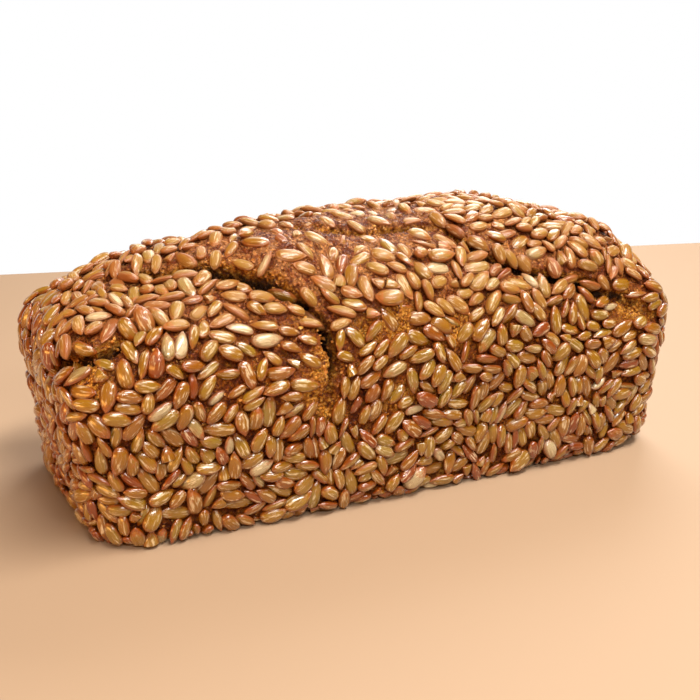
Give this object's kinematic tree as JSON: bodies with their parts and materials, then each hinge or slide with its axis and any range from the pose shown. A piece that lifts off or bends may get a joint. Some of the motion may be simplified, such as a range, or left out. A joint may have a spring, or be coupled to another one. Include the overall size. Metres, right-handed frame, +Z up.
{
  "type": "rye bread loaf",
  "caption": "Tin-baked rye bread loaf with tapered sides and a domed, cracked crust, covered all over in toasted sunflower kernels; stands on its flat base.",
  "frame": {"origin": "middle of the flat base", "axes": "+X along the loaf, +Z up, -Y out of the long side with the wide baking crack"},
  "size_m": [0.2411, 0.1077, 0.0981],
  "materials": {
    "crust": "rust-brown baked crust set with tan toasted kernels, matt with a faint sheen on the kernels"
  },
  "bodies": {
    "root": {"loaf": "crust"}
  },
  "joints": []
}
